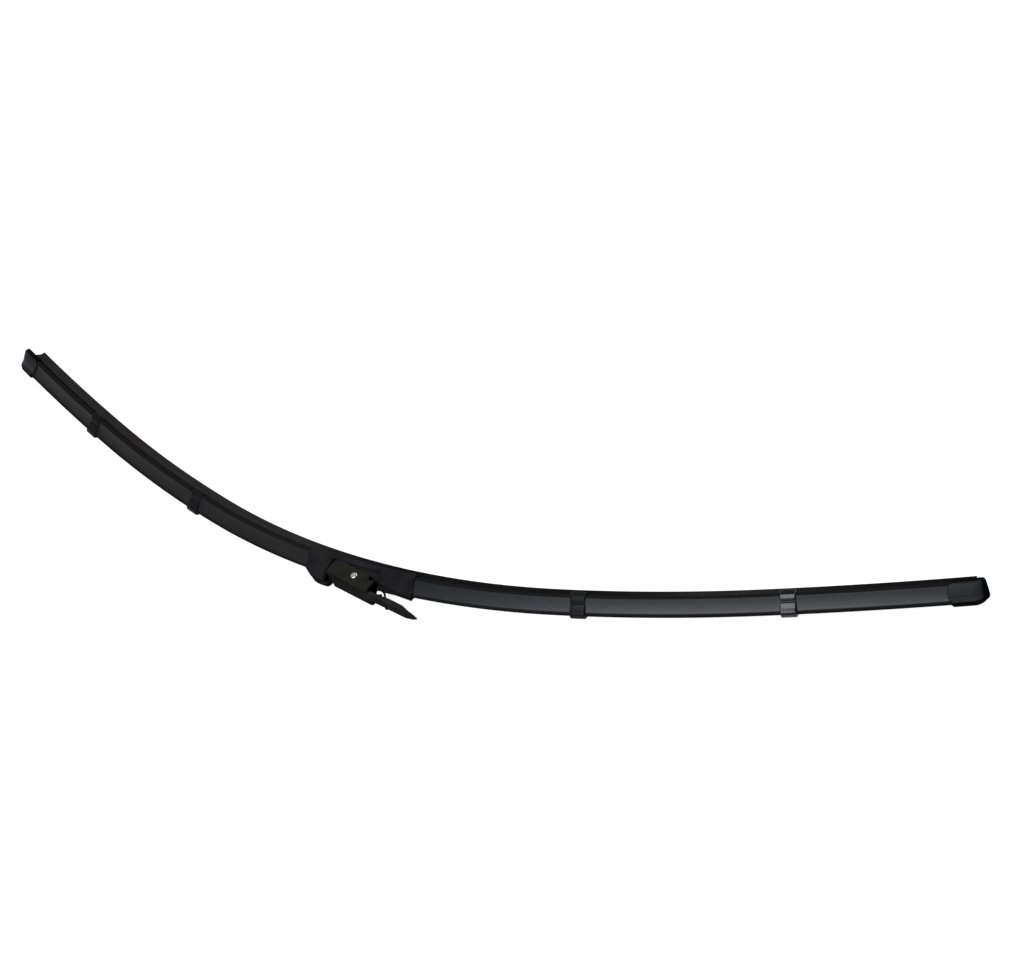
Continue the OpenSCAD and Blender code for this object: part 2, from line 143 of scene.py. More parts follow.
def rounded(corners: Array, reach: Array, steps: int = 5) -> Array:
    """Rounds the corners of a closed outline.

    Each corner becomes a parabola that leaves one side and joins the next at the given reach from
    the corner: (1-t)^2 start + 2t(1-t) corner + t^2 end.

    Args:
        corners: Points of the outline, (count, 2).
        reach: Distance from each corner at which its round starts; 0 keeps the corner.
        steps: Points on each round.

    Returns:
        Points of the rounded outline.
    """
    before, after = np.roll(corners, 1, 0) - corners, np.roll(corners, -1, 0) - corners
    long_before = np.linalg.norm(before, axis=1, keepdims=True)
    long_after = np.linalg.norm(after, axis=1, keepdims=True)
    most = 0.45  # a round takes less than half of a side
    room = np.minimum(reach[:, None], most * np.minimum(long_before, long_after))
    start = corners + before / long_before * room
    end = corners + after / long_after * room
    t = np.linspace(0.0, 1.0, steps)[None, :, None]
    curve = (1 - t) ** 2 * start[:, None] + 2 * t * (1 - t) * corners[:, None] + t**2 * end[:, None]
    keep = np.ones(curve.shape[:2], bool)
    keep[reach == 0, 1:] = False
    return curve[keep]


def outward(ring: Array) -> Array:
    """Unit normals of a closed ring, from the difference of each point's neighbours.

    Args:
        ring: Points, (count, 2).

    Returns:
        Normals that point out of the ring, (count, 2).
    """
    ahead = np.roll(ring, -1, 0)
    along = ahead - np.roll(ring, 1, 0)
    normal = np.stack([along[:, 1], -along[:, 0]], -1)
    normal /= np.linalg.norm(normal, axis=1, keepdims=True)
    area = np.sum(ring[:, 0] * ahead[:, 1] - ring[:, 1] * ahead[:, 0])
    return normal * np.sign(area)


def turned_down(ring: Array, outside: Array, insets: Array) -> Array:
    """Repeats a ring and moves its outer points in, which rounds the ends of a band.

    Args:
        ring: Points, (count, 2).
        outside: Which of them are on the outside, (count,).
        insets: How far they go in, one for each row.

    Returns:
        One ring for each row, (rows, count, 2).
    """
    return ring[None] - outward(ring)[None] * outside[None, :, None] * insets[:, None, None]


@dataclass
class Shell:
    """One closed tube: a grid of points, rows along a path and columns round a ring.

    Attributes:
        grid: Points in metres, (rows, columns, 3).
        uv: Pattern coordinates in millimetres, (rows, columns + 1, 2).
    """

    grid: Array
    uv: Array

    @classmethod
    def swept(cls, bend: Bend, stations: Array, rings: Array) -> "Shell":
        """Carries a ring along the bend.

        Args:
            bend: Centre line of the blade.
            stations: Arc lengths of the rows, or of each point (rows, columns).
            rings: The ring (columns, 2), or one for each row (rows, columns, 2), as (u, c).

        Returns:
            The tube, with a pattern that runs along the blade and round the ring.
        """
        rings = np.broadcast_to(rings, (len(stations), *rings.shape[-2:]))
        along = stations if stations.ndim == 2 else stations[:, None]
        grid = bend.place(along, -rings[..., 0], rings[..., 1])
        sides = np.linalg.norm(np.roll(rings, -1, 1) - rings, axis=2)
        longest = sides[np.argmax(sides.sum(1))]
        walk = np.concatenate([[0.0], np.cumsum(longest)])
        u = np.broadcast_to(along[:, :1], (len(stations), len(walk)))
        v = np.broadcast_to(walk[None, :], u.shape)
        return cls(grid, np.stack([u, v], -1))


def make_piece(name: str, shells: list[Shell], crease_deg: float = 32.0) -> bpy.types.Object:
    """Puts closed tubes into one mesh object, with flat faces over their ends.

    Args:
        name: Name of the piece.
        shells: Its tubes. One whose volume comes out negative is turned round.
        crease_deg: Edges that turn by more than this are drawn sharp.

    Returns:
        The object, at the world's origin.
    """
    points, faces, patterns, base = [], [], [], 0
    for shell in shells:
        rows, columns = shell.grid.shape[:2]
        number = np.arange(rows * columns).reshape(rows, columns) + base
        ahead = np.roll(number, -1, 1)
        quads = np.stack([number[:-1], ahead[:-1], ahead[1:], number[1:]], -1).reshape(-1, 4)
        uv = shell.uv
        corners = [uv[:-1, :-1], uv[:-1, 1:], uv[1:, 1:], uv[1:, :-1]]
        quad_uv = np.stack(corners, 2).reshape(-1, 4, 2)
        first, last = number[0][::-1], number[-1]
        flat = shell.grid.reshape(-1, 3)
        centre = flat.mean(0)
        a, b, c, d = (flat[quads[:, k] - base] - centre for k in range(4))
        volume = np.sum(np.cross(a, b) * c) + np.sum(np.cross(a, c) * d)
        if volume < 0:
            quads, quad_uv = quads[:, ::-1], quad_uv[:, ::-1]
            first, last = first[::-1], last[::-1]
        points.append(flat)
        faces += quads.tolist() + [first.tolist(), last.tolist()]
        ends = np.zeros((2 * columns, 2)) + uv[0, 0]
        patterns += [quad_uv.reshape(-1, 2), ends]
        base += rows * columns
    mesh = bpy.data.meshes.new(name)
    mesh.from_pydata(np.concatenate(points).tolist(), [], faces)
    layer = mesh.uv_layers.new(name=UV_MAP)
    layer.data.foreach_set("uv", np.concatenate(patterns).astype(np.float32).ravel())
    mesh.polygons.foreach_set("use_smooth", np.ones(len(faces), bool))
    mesh.set_sharp_from_angle(angle=math.radians(crease_deg))
    mesh.update()
    piece = bpy.data.objects.new(name, mesh)
    bpy.context.scene.collection.objects.link(piece)
    return piece


# ---------------------------------------------------------------- finishes


def linear(colour: str) -> tuple[float, float, float, float]:
    """Turns an sRGB hex colour into the linear colour that a shader takes.

    Args:
        colour: Six hex digits after a hash sign.

    Returns:
        Red, green, blue and an alpha of 1.
    """
    parts = [int(colour[i : i + 2], 16) / 255 for i in (1, 3, 5)]
    low = [p / 12.92 if p <= 0.04045 else ((p + 0.055) / 1.055) ** 2.4 for p in parts]
    return low[0], low[1], low[2], 1.0


def add(tree: Tree, kind: str, inputs: dict[Any, Any], **settings: Any) -> bpy.types.Node:
    """Adds a shader node with its settings and links.

    Args:
        tree: Where the node goes.
        kind: Its type, without the common prefix.
        inputs: For each input, a value or the output socket that feeds it.
        **settings: Properties of the node.

    Returns:
        The node.
    """
    node = tree.nodes.new("ShaderNode" + kind)
    for key, value in settings.items():
        setattr(node, key, value)
    for key, value in inputs.items():
        if isinstance(value, bpy.types.NodeSocket):
            tree.links.new(value, node.inputs[key])
        else:
            node.inputs[key].default_value = value
    return node


def calc(tree: Tree, operation: str, first: Any, second: Any, **settings: Any) -> Socket:
    """Adds one step of arithmetic on two values or sockets."""
    return add(tree, "Math", {0: first, 1: second}, operation=operation, **settings).outputs[0]


def blend(tree: Tree, share: float, first: Socket, second: Socket) -> Socket:
    """Mixes two tones: the share given is the second's, the rest is the first's."""
    return add(tree, "Mix", {0: share, 2: first, 3: second}, data_type="FLOAT").outputs[0]


def spread(tree: Tree, value: Socket, low: float, high: float) -> Socket:
    """Stretches a socket that runs from 0 to 1, so that it runs from low to high."""
    return add(tree, "MapRange", {"Value": value, "To Min": low, "To Max": high}).outputs["Result"]


def rise(tree: Tree, value: Socket, start: float, end: float, kind: str = "LINEAR") -> Socket:
    """Rises from 0 to 1 while the value goes from start to end."""
    inputs = {"Value": value, "From Min": start, "From Max": end}
    return add(tree, "MapRange", inputs, interpolation_type=kind).outputs["Result"]


def ramp(tree: Tree, tone: Socket, dark: str, pale: str) -> Socket:
    """Colours a noise.

    Args:
        tree: The material's nodes.
        tone: The noise.
        dark: Hex colour where it is low.
        pale: Hex colour where it is high.

    Returns:
        Output socket of the colour.
    """
    node = add(tree, "ValToRGB", {"Fac": tone})
    stops = node.color_ramp.elements
    stops[0].position, stops[0].color = NOISE_LOW, linear(dark)
    stops[1].position, stops[1].color = NOISE_HIGH, linear(pale)
    return node.outputs["Color"]


def bump(tree: Tree, strength: float, depth_mm: float, height: Socket) -> Socket:
    """Bends the surface's normal as a relief of the given depth would."""
    inputs = {"Strength": strength, "Distance": depth_mm * MM, "Height": height}
    return add(tree, "Bump", inputs).outputs["Normal"]


def blade_noise(tree: Tree, along_mm: float, round_mm: float, detail: float) -> Socket:
    """Adds a noise on the map that follows the blade.

    Args:
        tree: The material's nodes.
        along_mm: Size of its patches along the blade.
        round_mm: Their size round the section.
        detail: Finer noises laid over it.

    Returns:
        Output socket of the noise.
    """
    uv = add(tree, "UVMap", {}, uv_map=UV_MAP).outputs["UV"]
    at = add(tree, "Mapping", {"Vector": uv, "Scale": (1 / along_mm, 1 / round_mm, 1.0)})
    inputs = {"Vector": at.outputs[0], "Scale": 1.0, "Detail": detail}
    return add(tree, "TexNoise", inputs).outputs["Fac"]


def solid_noise(tree: Tree, size_mm: float, detail: float) -> Socket:
    """Adds a noise on the object's own coordinates.

    Args:
        tree: The material's nodes.
        size_mm: Size of its patches.
        detail: Finer noises laid over it.

    Returns:
        Output socket of the noise.
    """
    at = add(tree, "TexCoord", {}).outputs["Object"]
    inputs = {"Vector": at, "Scale": 1 / (size_mm * MM), "Detail": detail}
    return add(tree, "TexNoise", inputs).outputs["Fac"]


def bands(tree: Tree, axis: int, places: Four, border: float) -> Socket:
    """Finds where a place on the map that follows the blade is on neither of two bands.

    Each border is a smooth step; a band is what lies past one border and before the next.

    Args:
        tree: The material's nodes.
        axis: 0 for places along the blade, 1 for places round the section.
        places: Start and end of the first band and of the second, in millimetres.
        border: Width of the smooth steps.

    Returns:
        Output socket that is 0 on the bands and 1 elsewhere.
    """
    uv = add(tree, "UVMap", {}, uv_map=UV_MAP).outputs["UV"]
    place = add(tree, "SeparateXYZ", {0: uv}).outputs[axis]
    half = border / 2
    past = [rise(tree, place, at - half, at + half, "SMOOTHSTEP") for at in places]
    first = calc(tree, "SUBTRACT", past[0], past[1])
    second = calc(tree, "SUBTRACT", past[2], past[3])
    both = calc(tree, "ADD", first, second)
    return calc(tree, "SUBTRACT", 1.0, both, use_clamp=True)


@dataclass(frozen=True)
class Finish:
    """What every finish shares: its name, its two tones and its gloss.

    Attributes:
        name: Name of the material.
        dark: Hex colour of the darker patches.
        pale: Hex colour of the paler patches.
        rough_low: Roughness of the smoothest patches.
        rough_high: Roughness of the dullest patches.
        shine: Share of the mirror-like light; dust and fine roughness swallow the rest.
        ior: Index of refraction.
        relief: Strength of the bump.
    """

    name: str
    dark: str
    pale: str
    rough_low: float
    rough_high: float
    shine: float
    ior: float = 1.5
    relief: float = 0.5

    def pattern(self, tree: Tree) -> tuple[Socket, Socket, Socket]:
        """Adds the finish's own pattern.

        Args:
            tree: The material's nodes.

        Returns:
            Output sockets of the tone (0 to 1), of the gloss (0 to 1) and of the bump's normal.
        """
        raise NotImplementedError

    def shade_or_wear(self, tree: Tree) -> tuple[Socket, str, float] | None:
        """Adds painted shade or wear over the finish in places.

        Args:
            tree: The material's nodes.

        Returns:
            Output socket of where it lies (0 to 1), its hex colour and its shine, or nothing.
        """
        return None

    def settings(self) -> dict[str, Any]:
        """Values for the shader's sockets beyond colour, gloss and normal."""
        return {}

    def material(self) -> bpy.types.Material:
        """Builds the material.

        Returns:
            The material, whose colour and roughness run between their two values.
        """
        made = bpy.data.materials.get(self.name)
        if made:
            return made
        made = bpy.data.materials.new(self.name)
        made.use_nodes = True
        tree = made.node_tree
        tree.nodes.clear()
        tone, gloss, normal = self.pattern(tree)
        colour = ramp(tree, tone, self.dark, self.pale)
        shine: Any = self.shine
        # Painted shade or wear, where a finish has it, replaces the colour and the shine there.
        over = self.shade_or_wear(tree)
        if over:
            where, shade_or_wear_colour, shade_or_wear_shine = over
            inputs = {0: where, 6: colour, 7: linear(shade_or_wear_colour)}
            colour = add(tree, "Mix", inputs, data_type="RGBA").outputs[2]
            shine = spread(tree, where, self.shine, shade_or_wear_shine)
        shader = add(
            tree,
            "BsdfPrincipled",
            {
                "Base Color": colour,
                "Roughness": spread(tree, gloss, self.rough_low, self.rough_high),
                "Normal": normal,
                "IOR": self.ior,
                "Specular IOR Level": shine,
                **self.settings(),
            },
        )
        add(tree, "OutputMaterial", {"Surface": shader.outputs["BSDF"]})
        return made


@dataclass(frozen=True)
class ExtrudedRubber(Finish):
    """EPDM pressed through a die: fine lines along the blade, with a patchy pale bloom.

    The die lines stretch highlights along the blade; the bloom greys the black here and there.

    Attributes:
        line_mm: Width of a die line, drawn a little coarser than the real one so that it shows.
        line_run_mm: Length over which a line keeps its depth.
        line_depth_mm: Depth of the lines.
        line_share: How much of the tone the lines take, the rest being bloom and specks.
        bloom_mm: Size of the patches of bloom round the section.
        bloom_stretch: How many times longer they are along the blade.
        speck_mm: Distance between the grains of talc that cling to the rubber.
        speck_share: How much of the bloom the specks take.
        painted_shade: Hex colour of painted shade, without gloss, that leaves two unshaded bands,
            if there is one.
        unshaded_mm: Where the first unshaded band starts and ends, and where the second does.
        border_mm: Width of the bands' soft borders.
        shade_axis: 1 if those places run round the section, foot to foot; 0 if along the blade.
    """

    line_mm: float = 0.35
    line_run_mm: float = 60.0
    line_depth_mm: float = 0.02
    line_share: float = 0.4
    bloom_mm: float = 14.0
    bloom_stretch: float = 2.5
    speck_mm: float = 1.1
    speck_share: float = 0.35
    # Painted shade: a darker colour without gloss, outside two unshaded bands.
    painted_shade: str = ""
    unshaded_mm: Four = (3.0, 10.6, 14.3, 21.6)
    border_mm: float = 1.0
    shade_axis: int = 1

    def pattern(self, tree: Tree) -> tuple[Socket, Socket, Socket]:
        """Adds die lines, bloom and specks on the map that follows the blade."""
        lines = blade_noise(tree, self.line_run_mm, self.line_mm, 3.0)
        bloom = blade_noise(tree, self.bloom_stretch * self.bloom_mm, self.bloom_mm, 4.0)
        specks = blade_noise(tree, self.speck_mm, self.speck_mm, 2.0)
        mottled = blend(tree, self.speck_share, bloom, specks)
        tone = blend(tree, self.line_share, mottled, lines)
        return tone, lines, bump(tree, self.relief, self.line_depth_mm, lines)

    def shade_or_wear(self, tree: Tree) -> tuple[Socket, str, float] | None:
        """Paints shade, without gloss, wherever the place is not on one of the two unshaded bands.
        """
        if not self.painted_shade:
            return None
        # The painted shade lies outside the unshaded bands and has no gloss.
        return bands(tree, self.shade_axis, self.unshaded_mm, self.border_mm), self.painted_shade, 0.0


@dataclass(frozen=True)
class GrainedPlastic(Finish):
    """Glass-filled nylon from a spark-eroded mould: a fine even grain that softens highlights.

    Attributes:
        grain_mm: Spacing of the grain, drawn coarser than the real one so that it shows.
        grain_depth_mm: Depth of the grain.
        grain_share: How much of the tone the grain takes, the rest being clouds.
        cloud_mm: Size of the cloudy patches that flow marks and handling leave.
        worn: Hex colour of the flat cheeks that other parts have rubbed, if any.
        cheek_mm: Distance of those cheeks from the middle of the width.
        painted_rim_shade: Hex colour of painted shade, without gloss, on a cap's edges, on its
            ridge, its foot and its tip, if any.
        faces_mm: Where the cap's two faces lie round its section, from edge to edge.
        tips_mm: Where the unshaded lengths of both caps lie along the blade.
    """

    relief: float = 0.6
    grain_mm: float = 0.35
    grain_depth_mm: float = 0.02
    grain_share: float = 0.3
    cloud_mm: float = 9.0
    worn: str = ""
    cheek_mm: float = 6.0
    painted_rim_shade: str = ""
    faces_mm: Four = (3.7, 13.6, 19.4, 27.6)
    tips_mm: Four = (-347.4, -100.0, 100.0, 347.4)

    def pattern(self, tree: Tree) -> tuple[Socket, Socket, Socket]:
        """Adds grain and clouds on the object's own coordinates."""
        grain = solid_noise(tree, self.grain_mm, 2.0)
        cloud = solid_noise(tree, self.cloud_mm, 5.0)
        tone = blend(tree, self.grain_share, cloud, grain)
        return tone, cloud, bump(tree, self.relief, self.grain_depth_mm, grain)

    def shade_or_wear(self, tree: Tree) -> tuple[Socket, str, float] | None:
        """Paints shade, without gloss, on a cap's edges, or rubs outer cheeks in patches.

        A place is rubbed where it is far enough across, times a noise.
        """
        # A cap's edges get painted shade with no gloss.
        if self.painted_rim_shade:
            rim_border_mm = 1.2
            sides = bands(tree, 1, self.faces_mm, rim_border_mm)
            tips = bands(tree, 0, self.tips_mm, rim_border_mm)
            return calc(tree, "MAXIMUM", sides, tips), self.painted_rim_shade, 0.0
        if not self.worn:
            return None
        border_mm, patch_mm, faint, full = 0.3, 7.0, 0.35, 0.6
        at = add(tree, "TexCoord", {}).outputs["Object"]
        across = add(tree, "SeparateXYZ", {0: at}).outputs[2]
        far = add(tree, "Math", {0: across}, operation="ABSOLUTE").outputs[0]
        cheek = rise(tree, far, (self.cheek_mm - border_mm) * MM, self.cheek_mm * MM)
        patch = rise(tree, solid_noise(tree, patch_mm, 3.0), faint, full)
        return calc(tree, "MULTIPLY", cheek, patch), self.worn, self.shine


@dataclass(frozen=True)
class GlossPaint(Finish):
    """Stamped strip under black lacquer: a smooth coat with orange peel over a rolled metal.

    Attributes:
        peel_mm: Size of the waves in the coat.
        peel_depth_mm: Depth of the waves.
        haze_scale: Fineness of the haze, against that of the waves.
        coat: Weight of the clear coat.
        coat_rough: Roughness of the clear coat.
    """

    peel_mm: float = 1.6
    peel_depth_mm: float = 0.01
    haze_scale: float = 0.3
    coat: float = 0.06
    coat_rough: float = 0.14

    def pattern(self, tree: Tree) -> tuple[Socket, Socket, Socket]:
        """Adds orange peel and a thin haze on the object's own coordinates."""
        peel = solid_noise(tree, self.peel_mm, 1.5)
        haze = solid_noise(tree, self.peel_mm / self.haze_scale, 5.0)
        return haze, haze, bump(tree, self.relief, self.peel_depth_mm, peel)

    def settings(self) -> dict[str, Any]:
        """Adds the clear coat."""
        return {"Coat Weight": self.coat, "Coat Roughness": self.coat_rough}


@dataclass(frozen=True)
class RolledSteel(Finish):
    """Bare or plated steel: a metal with fine scratches in all directions.

    Attributes:
        scratch_mm: Spacing of the scratches.
        scratch_depth_mm: Depth of the scratches.
    """

    relief: float = 0.4
    scratch_mm: float = 0.3
    scratch_depth_mm: float = 0.004

    def pattern(self, tree: Tree) -> tuple[Socket, Socket, Socket]:
        """Adds scratches on the object's own coordinates."""
        scratch = solid_noise(tree, self.scratch_mm, 6.0)
        return scratch, scratch, bump(tree, self.relief, self.scratch_depth_mm, scratch)

    def settings(self) -> dict[str, Any]:
        """Makes it a metal."""
        return {"Metallic": 1.0}


# The spoiler's painted shade darkens the sides of the foot and the ridge and takes their gloss
# away.
SPOILER_RUBBER = ExtrudedRubber(
    "extruded_epdm", "#212121", "#323232", 0.34, 0.46, 0.45, painted_shade="#262628"
)
# The strip's painted shade darkens it along the blade from about s = -20 to 190 mm and past 250 mm,
# with soft borders.
STRIP_RUBBER = ExtrudedRubber(
    "graphited_rubber", "#252423", "#413f3e", 0.6, 0.8, 0.1, line_mm=0.5, bloom_mm=5.0,
    painted_shade="#212121", unshaded_mm=(-400.0, -20.0, 190.0, 250.0), border_mm=80.0, shade_axis=0,
)
# The cap's rim colour is painted shade on its ridge, its foot and its tip, without gloss.
CAP_NYLON = GrainedPlastic("grained_nylon", "#28292c", "#37383c", 0.38, 0.5, 0.2, painted_rim_shade="#161618")
BASE_NYLON = GrainedPlastic("satin_nylon", "#222223", "#353536", 0.4, 0.55, 0.0)
ADAPTER_NYLON = GrainedPlastic(
    "olive_black_nylon", "#232322", "#383837", 0.5, 0.65, 0.0, worn="#31322a"
)
CLIP_LACQUER = GlossPaint("black_lacquer", "#1e1e1f", "#2b2b2c", 0.38, 0.5, 0.05)
BRIGHT_LACQUER = GlossPaint(
    "bright_black_lacquer", "#1b1c1f", "#26272a", 0.38, 0.5, 0.1, coat=0.55
)
PLATED_STEEL = RolledSteel(
    "plated_steel", "#f4f4f3", "#ffffff", 0.3, 0.4, 0.5, scratch_depth_mm=0.0015
)
BLUED_STEEL = RolledSteel("blued_spring_steel", "#55595f", "#6b7078", 0.25, 0.45, 0.5)


# ---------------------------------------------------------------- the blade


@dataclass(frozen=True)
class Section:
    """Sizes of the blade's section: those of the part's source, with flatter hollow faces.

    Attributes:
        foot_half: Half width over the foot.
        foot_low: How far the foot reaches towards the glass.
        foot_high: Height at which the hollow faces start.
        ridge_u: Height of the middle of the round ridge.
        ridge_c: Place of the ridge across the width.
        ridge_radius: Radius of the ridge.
        hollow: Depth of the hollow of a face.
        claw_half: Half width of the mouth of the foot.
        slot_half: Half width of the slot that holds the rails.
        slot_low: Lower edge of that slot.
        slot_high: Upper edge of that slot.
        head_half: Half width of the room for the strip's head.
        head_high: Top of that room.
        foot_lean: How far the sides of the foot lean in towards the glass.
        steps: Points on a face, and on the round of the ridge.
    """

    foot_half: float = 5.9
    foot_low: float = 1.5
    foot_high: float = 1.1
    ridge_u: float = 6.7
    ridge_c: float = -0.5
    ridge_radius: float = 1.2
    hollow: float = 0.16
    claw_half: float = 4.15
    slot_half: float = 5.2
    slot_low: float = -0.85
    slot_high: float = 0.15
    head_half: float = 2.95
    head_high: float = 1.05
    foot_lean: float = 0.35
    steps: int = 9

    def chord(self, side: int, grow: float, crest: float, drop: float = 0.0) -> list[Array]:
        """Finds the straight line of a face, from the foot to the ridge.

        Args:
            side: 1 for the upper face and -1 for the lower.
            grow: How far it stands outside the spoiler's own at the foot.
            crest: The same at the ridge.
            drop: How far its lower end is moved towards the glass.

        Returns:
            Its lower end, the way from there to the ridge, and its normal out of the blade.
        """
        foot = np.array([self.foot_high - drop, side * (self.foot_half + grow)])
        top = np.array([self.ridge_u, self.ridge_c + side * (self.ridge_radius + crest)])
        way = top - foot
        return [foot, way, np.array([-way[1], way[0]]) / np.linalg.norm(way) * side]

    def face(self, side: int, grow: float) -> Array:
        """Hollow face on one side, from the foot to the ridge.

        It is the chord between its ends, bowed inwards by the hollow times 4f(1-f).

        Args:
            side: 1 for the upper face and -1 for the lower.
            grow: How far the face stands outside the spoiler's own.

        Returns:
            Points (u, c), from the foot up.
        """
        foot, way, out = self.chord(side, grow, grow)
        f = np.linspace(0.0, 1.0, self.steps)[:, None]
        return foot + way * f - out * (4 * self.hollow * f * (1 - f))

    def ridge(self, crest: float) -> Array:
        """Round of the ridge, from the upper face to the lower.

        Args:
            crest: How far it stands outside the spoiler's own ridge.

        Returns:
            Points (u, c) of a half circle without its ends.
        """
        turn = np.linspace(0.5, -0.5, self.steps + 2)[1:-1] * np.pi
        round_off = (self.ridge_radius + crest) * np.stack([np.cos(turn), np.sin(turn)], -1)
        return round_off + [self.ridge_u, self.ridge_c]

    def creased(self, side: int, grow: float, crest: float) -> Array:
        """Face of a clip on one side: two long pillows with a crease between them.

        Each point stands a little off the chord, at a share of the way along it.

        Args:
            side: 1 for the upper face and -1 for the lower.
            grow: Wall of the clip at the foot.
            crest: Wall of the clip over the ridge.

        Returns:
            Points (u, c), from the foot up.
        """
        foot, way, out = self.chord(side, grow, crest, drop=0.4)
        share = np.array([0.0, 0.12, 0.27, 0.42, 0.5, 0.58, 0.74, 0.9])[:, None]
        off = np.array([0.0, 0.08, 0.1, 0.0, -0.5, 0.0, 0.1, 0.08])[:, None]
        return foot + way * share + out * off

    def outline(self, grow: float) -> tuple[Array, Array]:
        """Outer outline, from the upper edge of the foot over the ridge to the lower edge.

        Args:
            grow: How far the outline stands outside the spoiler.

        Returns:
            Its points, and for each the reach of its rounding.
        """
        upper, lower = self.face(1, grow), self.face(-1, grow)[::-1]
        foot = np.array([[-self.foot_low - grow, self.foot_half + grow - self.foot_lean]])
        points = np.concatenate([foot, upper, self.ridge(grow), lower, foot * [1, -1]])
        thin, per_wall, face_round = 0.3, 0.4, 0.5
        reach = np.zeros(len(points))
        reach[[0, -1]] = thin + per_wall * grow
        reach[[1, -2]] = face_round
        return points, reach

    def hooked(
        self, outer: Array, reach: Array, wall: float, play: float, hook: float, hook_round: float
    ) -> tuple[Array, Array]:
        """Rounds the ring of a band that wraps the blade and hooks under the foot.

        Args:
            outer: Outer outline, from the upper edge of the foot to the lower.
            reach: The reach of its roundings.
            wall: The band's wall under the foot.
            play: Gap between the band and the spoiler.
            hook: Half width of the opening between the hooks.
            hook_round: Reach of the hooks' rounds.

        Returns:
            The ring, and which of its points are on the outside.
        """
        inner, _ = self.outline(play)
        hooks = np.array([[-self.foot_low - wall, -hook], [-self.foot_low - play, -hook]])
        corners = np.concatenate([outer, hooks, inner[::-1], hooks[::-1] * [1, -1]])
        tips = [hook_round, hook_round]
        ring = rounded(corners, np.concatenate([reach, tips, np.zeros(len(inner)), tips]), 6)
        off = np.linalg.norm(ring[:, None] - inner[None], axis=2).min(1)
        return ring, off > 0.5 * wall


def even(start: float, end: float, step: float) -> Array:
    """Arc lengths from start to end, about step apart."""
    return np.linspace(start, end, max(2, math.ceil(abs(end - start) / step) + 1))


def hand_over(piece: bpy.types.Object, finish: Finish, node: str) -> None:
    """Gives a piece its finish and its place in the frame, and hides the node that it stands for.

    Args:
        piece: The new piece.
        finish: Its finish.
        node: The solid that it replaces.
    """
    piece.data.materials.append(finish.material())
    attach(piece, "blade")
    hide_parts(node)
    LOG.info("%s: %d faces, for %s", piece.name, len(piece.data.polygons), node)


class Piece:
    """A piece that is swept along the blade."""

    def build(self, bend: Bend, section: Section) -> None:
        """Sweeps the piece and hands it over.

        Args:
            bend: Centre line of the blade.
            section: Sizes of the blade's section.
        """
        raise NotImplementedError


@dataclass(frozen=True)
class Spoiler(Piece):
    """One length of the ridged spoiler, an extrusion with a hollow face on each side.

    Attributes:
        side: Which half of the blade it is on.
        start: Arc length of its inner end.
        end: Arc length of its outer end.
    """

    side: Side
    start: float = 30.5
    end: float = 347.4

    def build(self, bend: Bend, section: Section) -> None:
        """Sweeps the section from the connector to the cap.

        Args:
            bend: Centre line of the blade.
            section: Sizes of the blade's section.
        """
        row_mm, claw_round = 2.5, 0.12
        outer, reach = section.outline(0.0)
        claw, slot, head = section.claw_half, section.slot_half, section.head_half
        low, high = section.slot_low, section.slot_high
        u = [-section.foot_low, low, low, high, high, section.head_high]
        inner = np.stack([u, [-claw, -claw, -slot, -slot, -head, -head]], -1)
        inner = np.concatenate([inner, inner[::-1] * [1, -1]])
        reaches = np.concatenate([reach, np.full(len(inner), claw_round)])
        ring = rounded(np.concatenate([outer, inner]), reaches)
        stations = even(self.start, self.end, row_mm) * self.side.value
        node = f"{self.side.name.lower()}_spoiler"
        piece = make_piece(f"{node}_rubber", [Shell.swept(bend, stations, ring)])
        hand_over(piece, SPOILER_RUBBER, node)


@dataclass(frozen=True)
class WipingStrip(Piece):
    """The strip that wipes the glass: a head over the rails, a hinge web and a tapering lip.

    Attributes:
        end: Arc length of its ends.
        head_half: Half width of its head.
        head_high: Top of its head.
        neck_half: Half width between the rails.
        shoulder_half: Half width under the rails.
        web_half: Half width of the hinge web.
        wedge_half: Half width of the lip at its root.
        lip_depth: How far the lip reaches towards the glass.
        lip_half: Half width of the wiping edge.
    """

    end: float = 343.5
    head_half: float = 2.9
    head_high: float = 1.0
    neck_half: float = 1.55
    shoulder_half: float = 4.05
    web_half: float = 0.55
    wedge_half: float = 2.7
    lip_depth: float = 8.7
    lip_half: float = 0.35

    def build(self, bend: Bend, section: Section) -> None:
        """Sweeps the strip's section from end to end. Its side grooves hold the rails.

        Args:
            bend: Centre line of the blade.
            section: Sizes of the blade's section.
        """
        rail_top, rail_foot = section.slot_high, section.slot_low
        shoulder_foot, web_foot = -1.65, -2.5
        root_foot, step_foot, step_in = web_foot - 1.0, web_foot - 1.5, 0.7
        edge_top, edge_flare = 2.2 - self.lip_depth, 0.25
        half = np.array(
            [
                [self.head_high, self.head_half],
                [rail_top, self.head_half],
                [rail_top, self.neck_half],
                [rail_foot, self.neck_half],
                [rail_foot, self.shoulder_half],
                [shoulder_foot, self.shoulder_half],
                [shoulder_foot, self.web_half],
                [web_foot, self.web_half],
                [web_foot, self.wedge_half],
                [root_foot, self.wedge_half],
                [step_foot, self.wedge_half - step_in],
                [edge_top, self.lip_half + edge_flare],
                [-self.lip_depth, self.lip_half],
            ]
        )
        corners = np.concatenate([half, half[::-1] * [1, -1]])
        corner_round, row_mm, crease_deg = 0.16, 3.0, 28.0
        ring = rounded(corners, np.full(len(corners), corner_round), 4)
        stations = even(-self.end, self.end, row_mm)
        piece = make_piece("wiping_strip", [Shell.swept(bend, stations, ring)], crease_deg)
        hand_over(piece, STRIP_RUBBER, "wiping_rubber")


